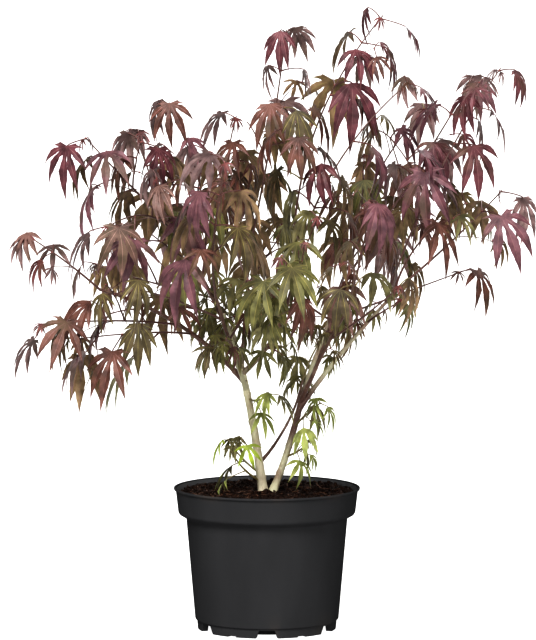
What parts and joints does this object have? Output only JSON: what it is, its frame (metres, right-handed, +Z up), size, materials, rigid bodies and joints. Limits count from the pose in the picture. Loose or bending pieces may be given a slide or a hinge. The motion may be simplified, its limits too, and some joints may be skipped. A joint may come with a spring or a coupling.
{
  "type": "potted japanese maple",
  "caption": "Young shrub with hanging, deeply lobed wine-red leaves on two slim stems, in a round black plastic nursery pot.",
  "frame": {"origin": "centre of the flat underside of the pot", "axes": "+Z up, +X to the right and -Y towards the viewer, as the plant is seen in the picture"},
  "size_m": [0.5493, 0.4669, 0.6396],
  "materials": {
    "pot": "satin",
    "potting_mix": "matte",
    "stem_bark": "matte",
    "bough_bark": "matte",
    "wine_leaves": "satin",
    "rose_leaves": "satin",
    "olive_leaves": "satin",
    "young_leaves": "satin",
    "green_leaves": "satin"
  },
  "bodies": {
    "root": {"pot": "pot", "potting_mix": "potting_mix", "left_stem": "stem_bark", "right_stem": "stem_bark", "low_left_bough": "bough_bark", "upper_left_bough": "bough_bark", "middle_bough": "bough_bark", "leader_bough": "bough_bark", "left_front_bough": "bough_bark", "left_back_bough": "bough_bark", "right_bough": "bough_bark", "right_upper_bough": "bough_bark", "right_front_bough": "bough_bark", "right_back_bough": "bough_bark", "cross_bough": "bough_bark", "short_left_stub": "bough_bark", "short_right_stub": "bough_bark", "low_left_shoot": "young_leaves", "left_level_shoot": "wine_leaves", "left_drooping_shoot": "wine_leaves", "upper_left_shoot": "wine_leaves", "left_rising_shoot": "wine_leaves", "left_inner_shoot": "wine_leaves", "left_front_shoot": "rose_leaves", "left_back_shoot": "olive_leaves", "centre_tall_shoot": "wine_leaves", "centre_left_shoot": "wine_leaves", "middle_low_shoot": "green_leaves", "front_high_shoot": "wine_leaves", "front_low_shoot": "olive_leaves", "front_inner_shoot": "olive_leaves", "right_tall_shoot": "olive_leaves", "right_high_shoot": "wine_leaves", "back_high_shoot": "wine_leaves", "back_left_shoot": "wine_leaves", "back_centre_shoot": "olive_leaves", "right_rising_shoot": "wine_leaves", "right_far_shoot": "wine_leaves", "right_inner_shoot": "olive_leaves", "right_back_shoot": "wine_leaves", "right_back_low_shoot": "olive_leaves", "far_right_shoot": "wine_leaves", "far_right_back_shoot": "olive_leaves", "right_front_shoot": "wine_leaves", "right_front_low_shoot": "olive_leaves", "centre_front_shoot": "olive_leaves", "right_low_shoot": "olive_leaves", "right_young_shoot": "young_leaves", "inner_right_shoot": "olive_leaves", "inner_low_shoot": "green_leaves", "foot_left_shoot": "green_leaves", "foot_high_shoot": "green_leaves", "foot_right_shoot": "green_leaves", "knot_shoot": "green_leaves", "fork_shoot": "green_leaves"}
  },
  "joints": []
}
